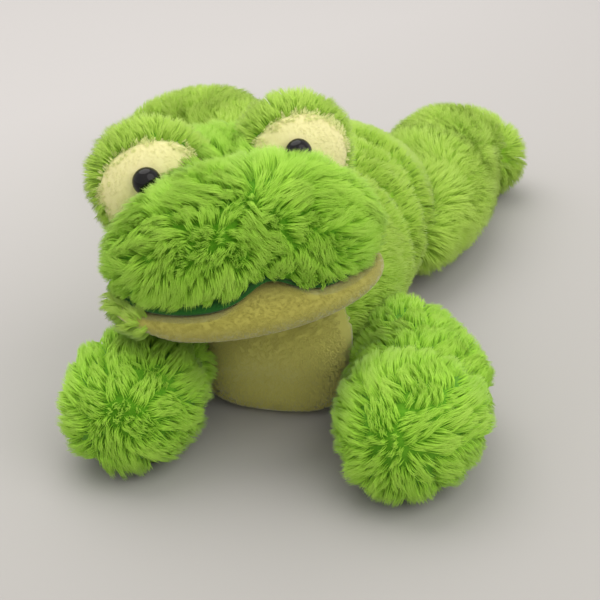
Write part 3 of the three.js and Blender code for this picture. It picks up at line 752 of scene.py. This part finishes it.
def add_pile(name, surface, comb, keep, material, seed, body="head", slot="plush", depth=PILE,
             spacing=2.5 * MM, strands=14, radius=0.2 * MM, lock=7 * MM, wild=0.3, part=0.1, edge_drop=0.24,
             stretch=0.6, trim=None, roundness=0.45, gather=0.75):
    """Tufts of tapered three-sided strands, gathered in locks whose tips draw together.

    comb gives the way and the amount that the pile leans, keep where it grows, and trim its share of depth.
    gather is 0 where the tips of a tuft meet and 1 where they stand over their roots."""
    rng = np.random.default_rng(seed)
    roots, normals = scattered(surface, spacing, rng)
    grows = keep(roots)
    roots, normals = roots[grows], normals[grows]
    lean = flat_to(comb(roots), normals)
    lean_way = unit(lean)
    locks, _ = scattered(surface, lock, rng)
    tree = tree_of(locks)
    near = np.array([[found[1] for found in tree.find_n(place, LOCKS_WEIGHED)] for place in roots])
    gaps = roots[:, None] - locks[near]
    lengthways = (gaps * lean_way[:, None]).sum(-1)
    crossways = (gaps**2).sum(-1) - lengthways**2
    chosen = (crossways + (stretch * lengthways) ** 2).argmin(1)
    nearest = near[np.arange(len(roots)), chosen]
    to_lock = flat_to(locks[nearest] - roots, normals)
    cross = to_lock - lean_way * (to_lock * lean_way).sum(-1, keepdims=True) * (1 - stretch)
    edge = np.clip(np.linalg.norm(cross, axis=1) / (lock * LOCK_EDGE), 0, LOCK_EDGE_MOST) ** 2
    lock_wave = flat_to(rng.normal(size=(len(locks), 3))[nearest], normals)
    lean = lean + flat_to(wild * waves(roots, WILD_SCALE, rng) + wild * LOCK_WILD * lock_wave, normals)
    tall = depth * (1 - edge_drop * edge) * between(TUFT_HEIGHT, rng, len(roots))
    if trim is not None:
        tall = tall * trim(roots)
    tone = TONE + TONE_LOCK * rng.normal(size=len(locks))[nearest]
    tone = tone + TONE_TUFT * rng.normal(size=len(roots)) + TONE_PLACE * waves(roots, TONE_SCALE, rng)[:, 0]
    tone = np.clip(tone, *TONE_RANGE)
    # Strands of each tuft
    n = len(roots) * strands
    owner = np.repeat(np.arange(len(roots)), strands)
    normal = normals[owner]
    spot_way = unit(flat_to(rng.normal(size=(n, 3)), normal))
    spot = spot_way * (np.sqrt(rng.random(n)) * spacing * SPOT)[:, None]
    high = (tall[owner] * between(STRAND_HEIGHT, rng, n))[:, None]
    fray = flat_to(rng.normal(size=(n, 3)), normal) * FRAY
    root = roots[owner] + spot - normal * SINK
    shift = lean[owner] * high + cross[owner] * part + fray * high
    tip = roots[owner] + spot * gather + normal * high + shift
    middle = root * MIDDLE_ROOT + tip * MIDDLE_TIP - shift * MIDDLE_LEAN + normal * high * MIDDLE_RISE
    side = unit(np.cross(lean_way[owner], normal) + rng.normal(size=(n, 3)) * TWIST)
    thick = (radius * between(STRAND_WIDTH, rng, n))[:, None]
    # Painted shade: strands at a lock's edge stop lower on the colour ramp, so the partings between locks
    # come out darker
    lit = (1 - EDGE_SHADE * np.clip(edge, 0, 1))[owner]
    vertices = np.empty((n, VERTICES, 3))
    shading = np.empty((n, VERTICES, 3))
    uvs = np.empty((n, VERTICES, 2))
    # A strand's height along it is its place on the colour ramp: painted shade at the root, painted light at
    # the tip
    levels = ((root, middle - root, 1.0, 0.0), (middle, tip - root, MIDDLE_WIDTH, MIDDLE_TIP))
    for level, (place, way, share, height) in enumerate(levels):
        heading = unit(way)
        across = unit(flat_to(side, heading))
        over = np.cross(heading, across)
        for corner in range(3):
            angle = 2 * math.pi * corner / 3
            radial = across * math.cos(angle) + over * math.sin(angle)
            k = 3 * level + corner
            vertices[:, k] = place + radial * thick * share
            shading[:, k] = unit(radial * roundness + normal * SIDE_NORMAL + UP * SIDE_UP)
            uvs[:, k, 0] = tone[owner] + TONE_STEP * corner
            uvs[:, k, 1] = height * lit
    vertices[:, 6] = tip
    shading[:, 6] = unit(heading * TIP_ALONG + normal * TIP_NORMAL + UP * TIP_UP)
    uvs[:, 6, 0] = tone[owner] + TONE_STEP
    uvs[:, 6, 1] = lit
    sides = [(0, 1), (1, 2), (2, 0)]
    one = [f for a, b in sides for f in ((a, b, b + 3), (a, b + 3, a + 3), (a + 3, b + 3, 6))]
    faces = (np.array(one)[None] + VERTICES * np.arange(n)[:, None, None]).reshape(-1, 3)
    vertices = above_floor(vertices.reshape(-1, 3), STRAND_LIFT)
    shading, uvs = shading.reshape(-1, 3), uvs.reshape(-1, 2)
    # Long piles are split into pieces
    parts = max(1, math.ceil(n / LARGEST_PIECE))
    for number in range(parts):
        first, last = number * n // parts, (number + 1) * n // parts
        chosen = faces[first * FACES : last * FACES] - first * VERTICES
        span = slice(first * VERTICES, last * VERTICES)
        label = name if parts == 1 else f"{name}_{number + 1}"
        piece = new_object(label, vertices[span], chosen, material, shading[span], uvs[span])
        dress(piece, body)


# Which places lie inside another form, and which cloth lies where
def inside_tube(form, grow, places):
    t = np.linspace(0, 1, 60)
    base = floor_base(tube_places(form, t, np.full_like(t, -math.pi / 2), 0.0))
    centre = spine_points(form["spine"], t)
    centre[:, 2] = spread(centre[:, 2]) - base
    swell, half_width, half_height = tube_sizes(form, t, grow)
    tree = tree_of(centre)
    near = np.array([tree.find(place)[1] for place in places])
    d = places - centre[near]
    flat = np.hypot(d[:, 0], d[:, 1])
    least = 1e-5  # keeps the shares defined at the tube's ends
    wide = flat / np.maximum((swell * half_width)[near], least)
    high = d[:, 2] / np.maximum((swell * half_height)[near], least)
    return wide**2 + high**2 < 1


def inside_head(grow, places):
    local = to_head(places)
    distance = np.linalg.norm(local, axis=1)
    return distance < head_reach(unit(local)) + grow


def inside_jaw(grow, places):
    return (((to_head(places) - JAW_MIDDLE) / (JAW_RADII + grow)) ** 2).sum(1) < 1


def inside_eye(sign, grow, places):
    return ((to_eye(sign, places) / (EYE_RADII + grow)) ** 2).sum(1) < 1


NEIGHBOURS = {
    "head": [inside_head],
    "jaw": [inside_jaw],
    "eyes": [partial(inside_eye, sign) for sign in (1, -1)],
    "body": [partial(inside_tube, BODY)],
    "legs": [partial(inside_tube, form) for form in (LEFT_ARM, RIGHT_ARM, LEFT_LEG, RIGHT_LEG)],
}


def buried(places, **depths):
    """Which places lie deeper inside a neighbouring form than the depth given for it."""
    covered = np.zeros(len(places), bool)
    for name, depth in depths.items():
        for inside in NEIGHBOURS[name]:
            covered |= inside(-depth, places)
    return covered


def in_patch(sign, places, grow=0.0, hidden=0.0):
    """Where an eye's cloth is the cream patch, less a hidden strip along its top."""
    local = to_eye(sign, places)
    wide = local[:, 0] / (PATCH_WIDTH / 2 + grow)
    high = (local[:, 2] + PATCH_DROP + hidden / 2) / (PATCH_HEIGHT / 2 + grow - hidden / 2)
    return (wide**2 + high**2 < 1) & (local[:, 1] < grow - PATCH_BACK)


def velour_place(places, inset=0.0):
    """Where the body's cloth is velour: low along the flanks, and up the front in a round-topped chest."""
    half = CHEST_WIDTH / 2
    shoulder = CHEST_SEAM - half
    x, y, z = places.T
    over = np.where(z > shoulder, np.hypot(x, z - shoulder), np.abs(x)) < half - inset
    return (z < BELLY_SEAM - inset) | (over & (y < BODY_FRONT + CHEST_DEPTH - inset))


def leaning(*way):
    """A comb that leans all the pile the same way."""
    return lambda places: np.tile(way, (len(places), 1))


def frayed(places, amount, seed):
    return places + np.random.default_rng(seed).normal(size=places.shape) * amount


def dress(piece, body):
    """Makes a piece ride on a body."""
    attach(piece, body)


# Short even pile of the velour
VELOUR = {"depth": 0.6 * MM, "wild": 0.03, "part": 0.0, "edge_drop": 0.0, "roundness": 0.12, "gather": 1.0}


def add_torso():
    surface = tube_surface(BODY, -PILE, rings=110, around=96)
    cream = velour_place(surface["v"][surface["f"]].mean(1))

    def skin(name, chosen, material, raised, thickness):
        grown = above_floor(surface["v"] + surface["n"] * raised, CLOTH_LIFT)
        return panel(name, grown, surface["f"][chosen], material, thickness)

    cloth = skin("back_cloth", ~cream, BACK_CLOTH, 0, BACK_THICKNESS)
    dress(cloth, "torso")
    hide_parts("back_panel", "body_stuffing")
    cloth = skin("belly_cloth", cream, SHADED_CHEST_CLOTH, PILE - SHORT_PILE, PILE)
    dress(cloth, "torso")
    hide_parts("belly_panel")

    def comb(places):
        way = np.tile([0.0, 0.3, -0.15], (len(places), 1))
        way[:, 0] += np.sign(places[:, 0]) * 0.1
        return way

    def keep(places):
        covered = velour_place(places, SEAM_LAP) | buried(places, head=12 * MM, legs=12 * MM)
        return ~covered & (places[:, 2] > 4 * MM)

    add_pile("back_pile", surface, comb, keep, BACK_PILE, seed=11, body="torso", wild=0.15,
             radius=0.25 * MM, edge_drop=0.06)

    def velour_keep(places):
        covered = buried(places, head=8 * MM, jaw=8 * MM)
        return velour_place(places, -SEAM_LAP) & ~covered & (places[:, 2] > 2 * MM)

    surface = tube_surface(BODY, -SHORT_PILE, rings=110, around=96)
    add_pile("belly_pile", surface, leaning(0.0, 0.05, -0.3), velour_keep, SHADED_CHEST_PILE, seed=12, body="torso",
             slot="velour", spacing=1.6 * MM, strands=10, radius=0.14 * MM, **VELOUR)


def add_head():
    surface = head_surface(-PILE)
    cloth = new_object("head_cloth", surface["v"], surface["f"], SHADED_PLUSH_CLOTH)
    dress(cloth, "head")
    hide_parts("head_skin", "head_stuffing")

    def comb(places):
        local = to_head(places)
        x, y = local[:, 0], local[:, 1]
        front = sigmoid(-(y - FRONT_PLACE) / FRONT_BLEND)
        aside = np.tanh((x - PARTING_PLACE) / PARTING_BLEND) * (LEAN_ASIDE + LEAN_ASIDE_FRONT * front)
        way = np.column_stack([aside, LEAN_BACK * (1 - front), -LEAN_DOWN * front])
        for middle, size in PARTINGS:
            gap = (local - middle) / (size * PARTING_SPREAD)
            way += unit((local - middle) / size) * PARTING_LEAN * hump(gap)[:, None]
        return way @ HEAD_TURN.T

    def trim(places):
        local = to_head(places)
        x, above = local[:, 0], local[:, 2] - lip_height(local[:, 0])
        short = LIP_FUR + LIP_FUR_LEFT * smooth(x, -LIP_FUR_TURN, LIP_FUR_TURN)
        share = short + (1 - short) * np.clip(above / LIP_FUR_FULL, 0, 1)
        for middle, size in PARTINGS:
            share *= 1 - PARTING_CUT * hump((local - middle) / (size * PARTING_CORE))
        return share + BROW_LENGTHEN * hump((local - BROW_MIDDLE) / BROW_RADIUS)

    def keep(places):
        local = to_head(places)
        lip = lip_height(local[:, 0]) + LIP_BARE + mouth_open(local[:, 0])
        return (local[:, 2] > lip) & ~buried(places, body=14 * MM, eyes=5 * MM)

    add_pile("head_pile", surface, comb, keep, PLUSH_PILE, seed=21, spacing=2.1 * MM, depth=PILE + 0.5 * MM,
             wild=0.35, part=0.3, lock=6.5 * MM, stretch=0.5, trim=trim, strands=22, radius=0.14 * MM,
             edge_drop=0.2, gather=0.65)

    lining = lining_surface()
    cloth = new_object("lining_cloth", lining["v"], lining["f"], LINING_CLOTH)
    dress(cloth, "head")
    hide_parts("mouth_lining")

    jaw = jaw_surface(-SHORT_PILE)
    cloth = new_object("jaw_cloth", jaw["v"], jaw["f"], SHADED_VELOUR_CLOTH)
    dress(cloth, "head")
    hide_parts("jaw_skin", "jaw_stuffing")

    def at_corner(places):
        ragged = np.random.default_rng(71).normal(size=len(places)) * CORNER_FRAY
        return to_head(places)[:, 0] + ragged < CORNER_PLACE

    def corner_keep(places):
        return at_corner(places) & ~buried(places, head=14 * MM)

    def jaw_keep(places):
        return ~at_corner(places) & ~buried(places, body=6 * MM, head=14 * MM)

    add_pile("mouth_corner_pile", jaw, leaning(-0.5, 0.1, -0.1), corner_keep, LIT_REAR_PILE, seed=23,
             spacing=2.1 * MM, depth=5.5 * MM, part=0.15, gather=0.7, strands=20, radius=0.15 * MM)
    add_pile("jaw_pile", jaw, leaning(0.0, 0.0, -0.3), jaw_keep, SHADED_VELOUR_PILE, seed=22, slot="velour",
             spacing=1.3 * MM, strands=12, radius=0.13 * MM, **VELOUR)


def add_eye(side, sign):
    rotation, middle = eye_frame(sign)
    surface = eye_surface(sign, -EYE_PILE)
    cloth = new_object(f"eye_cloth_{side}", surface["v"], surface["f"], SHADED_PLUSH_CLOTH)
    dress(cloth, "head")
    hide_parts(f"eye_lobe_{side}", f"eye_stuffing_{side}")

    def from_bead(places):
        local = to_eye(sign, places)
        return np.hypot(local[:, 0] + BEAD_ASIDE, local[:, 2] - BEAD_HEIGHT)

    def lean(local, amount):
        """A lean in the shared frame that grows towards the side of the lobe."""
        return local @ rotation.T / EYE_RADII[0] * amount

    def comb(places):
        local = to_eye(sign, places)
        local[:, 1] = 0.3 * local[:, 1] + 2 * MM
        return lean(local, 0.35)

    def keep(places):
        return ~in_patch(sign, places, -1 * MM, BROW_OVERHANG) & ~buried(places, head=8 * MM)

    add_pile(f"eye_pile_{side}", surface, comb, keep, LIT_REAR_PILE, seed=30 + sign, spacing=1.9 * MM,
             depth=8 * MM, wild=0.2, part=0.15, edge_drop=0.1)

    front = eye_surface(sign, -PATCH_PILE)
    faces = front["f"][in_patch(sign, front["v"][front["f"]].mean(1), 0.5 * MM)]
    local = to_eye(sign, front["v"])
    high = (local[:, 2] + PATCH_DROP + BROW_OVERHANG / 2) / ((PATCH_HEIGHT - BROW_OVERHANG) / 2)
    tucked = smooth(np.hypot(local[:, 0] / (PATCH_WIDTH / 2), high), *PATCH_TUCK_SPAN)
    laid = front["v"] - front["n"] * (PATCH_TUCK * tucked)[:, None]
    patch = panel(f"eye_patch_cloth_{side}", laid, faces, CREAM_CLOTH, PATCH_THICKNESS)
    dress(patch, "head")
    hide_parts(f"eye_patch_{side}")

    def patch_comb(places):
        local = to_eye(sign, places) * [1, 0, 1]
        return lean(local + [BEAD_ASIDE, 0, -BEAD_HEIGHT], 0.25)

    def patch_keep(places):
        cream = in_patch(sign, frayed(places, PATCH_FRAY, seed=60 + sign), -1 * MM, BROW_OVERHANG)
        hole = from_bead(places) < BEAD_RADIUS * 0.8
        return cream & ~buried(places, head=4 * MM) & ~hole

    def patch_trim(places):
        return 0.6 + 0.4 * smooth(from_bead(places), BEAD_RADIUS, 2 * BEAD_RADIUS)

    add_pile(f"eye_patch_pile_{side}", front, patch_comb, patch_keep, CREAM_PILE, seed=40 + sign,
             slot="velour", spacing=1.4 * MM, strands=8, radius=0.11 * MM, trim=patch_trim,
             **{**VELOUR, "roundness": 0.1})

    def rim_keep(places):
        ragged = frayed(places, RIM_FRAY, seed=80 + sign)
        outer, inner = (in_patch(sign, ragged, grow, BROW_OVERHANG) for grow in (1 * MM, -2 * MM))
        return outer & ~inner & ~buried(places, head=6 * MM)

    def rim_comb(places):
        return lean(to_eye(sign, places) * [1, 0, 1], 0.55)

    add_pile(f"eye_rim_pile_{side}", front, rim_comb, rim_keep, RIM_PILE, seed=45 + sign, slot="velour",
             depth=1.8 * MM, spacing=1.5 * MM, strands=12, radius=0.11 * MM, edge_drop=0.05, roundness=0.2,
             gather=0.9)

    # Bead: a dome with a nearly flat back
    places = ball_ways(rings=40, around=48) * np.array([BEAD_RADIUS, BEAD_DOME, BEAD_RADIUS])
    places[..., 1] = np.where(places[..., 1] > 0, places[..., 1] * BEAD_BACK, places[..., 1])
    places += np.array([-BEAD_ASIDE, -EYE_RADII[1] - BEAD_PROUD, BEAD_HEIGHT])
    dome = surface_of(places @ rotation.T + middle)
    bead = new_object(f"bead_dome_{side}", dome["v"], dome["f"], BEAD)
    dress(bead, "head")
    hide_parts(f"eye_bead_{side}")


def add_limb(body, form, material, backing, paw_middle, seed, **pile):
    surface = tube_surface(form, -PILE, rings=84, around=72)
    cloth = new_object(f"{body}_cloth", above_floor(surface["v"], CLOTH_LIFT), surface["f"], backing)
    dress(cloth, body)
    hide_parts(f"{body}_skin", f"{body}_stuffing")
    root, tip = form["spine"][0], form["spine"][-1]
    length = tip - root
    centre = spine_points(form["spine"], paw_middle)

    def comb(places):
        t = np.clip(((places - root) @ length) / (length @ length), 0, 1)[:, None]
        outwards = unit(places - centre)
        away, back, rise = PAW_LEAN
        paw = outwards * away + unit(-length) * back + UP * rise
        ahead, rise, away = SLEEVE_LEAN
        sleeve = unit(length) * ahead + UP * rise + outwards * away
        blend = sigmoid((t - PAW_START) / PAW_BLEND)
        return sleeve * (1 - blend) + paw * blend

    def keep(places):
        covered = buried(places, body=17 * MM)
        if body.startswith("front"):
            covered |= buried(places, head=12 * MM, jaw=8 * MM)
        return ~covered & (places[:, 2] > 1.5 * MM)

    add_pile(f"{body}_pile", surface, comb, keep, material, seed, body, wild=0.25, **pile)


def add_limbs():
    front = {"spacing": 2.3 * MM, "lock": 9 * MM, "edge_drop": 0.3, "part": 0.5, "gather": 0.5}
    rear = {"edge_drop": 0.06}
    add_limb("front_leg_left", LEFT_ARM, PLUSH_PILE, SHADED_PLUSH_CLOTH, FRONT_PAW, 51, **front)
    add_limb("front_leg_right", RIGHT_ARM, PLUSH_PILE, SHADED_PLUSH_CLOTH, FRONT_PAW, 52, **front)
    add_limb("rear_leg_left", LEFT_LEG, LIT_REAR_PILE, BACK_CLOTH, REAR_PAW, 53, depth=PILE + 3 * MM, **rear)
    add_limb("rear_leg_right", RIGHT_LEG, LIT_REAR_PILE, BACK_CLOTH, REAR_PAW, 54, depth=PILE + 2 * MM, **rear)


def finish_washers():
    for side in ("left", "right"):
        plastic = cloth_material(
            f"washer_plastic_{side}", (0.72, 0.72, 0.69), (0.78, 0.78, 0.75), 60, 0.05, roughness=0.45
        )
        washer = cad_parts[f"eye_washer_{side}"]
        washer.data.materials.clear()
        washer.data.materials.append(plastic)


def add_floor():
    corners = np.array([[-1, -1, 0], [1, -1, 0], [1, 1, 0], [-1, 1, 0]]) * FLOOR_HALF
    new_object("floor", corners, np.array([[0, 1, 2], [0, 2, 3]]), floor_material())


def aimed(name, data, place, back):
    """A camera or lamp at a place, with its back turned the given way."""
    made = bpy.data.objects.new(name, data)
    made.location = place
    made.rotation_euler = back.to_track_quat("Z", "Y").to_euler()
    bpy.context.scene.collection.objects.link(made)
    return made


def add_camera():
    azimuth, elevation = math.radians(AZIMUTH), math.radians(ELEVATION)
    level = math.cos(elevation)
    back = Vector((math.sin(azimuth) * level, -math.cos(azimuth) * level, math.sin(elevation)))
    data = bpy.data.cameras.new("camera")
    data.sensor_width = SENSOR
    data.lens = FOCAL_PIXELS / IMAGE_PIXELS * SENSOR
    data.clip_start, data.clip_end = 0.01, 50
    place = Vector(LOOK_AT) + back * CAMERA_DISTANCE
    bpy.context.scene.camera = aimed("camera", data, place, back)


def add_light():
    world = bpy.data.worlds.new("room")
    world.use_nodes = True
    background = world.node_tree.nodes["Background"].inputs
    background["Color"].default_value = ROOM_COLOUR
    background["Strength"].default_value = ROOM_STRENGTH
    bpy.context.scene.world = world
    for name, (place, size, power) in LAMPS.items():
        data = bpy.data.lights.new(name, "AREA")
        data.shape = "DISK"
        data.size = size
        data.energy = power
        data.color = LAMP_COLOUR
        aimed(name, data, place, Vector(place) - Vector(LAMP_AIM))


bpy.context.scene.view_settings.view_transform = "Standard"
add_camera()
add_light()
add_floor()
add_torso()
add_head()
add_eye("left", 1)
add_eye("right", -1)
add_limbs()
finish_washers()
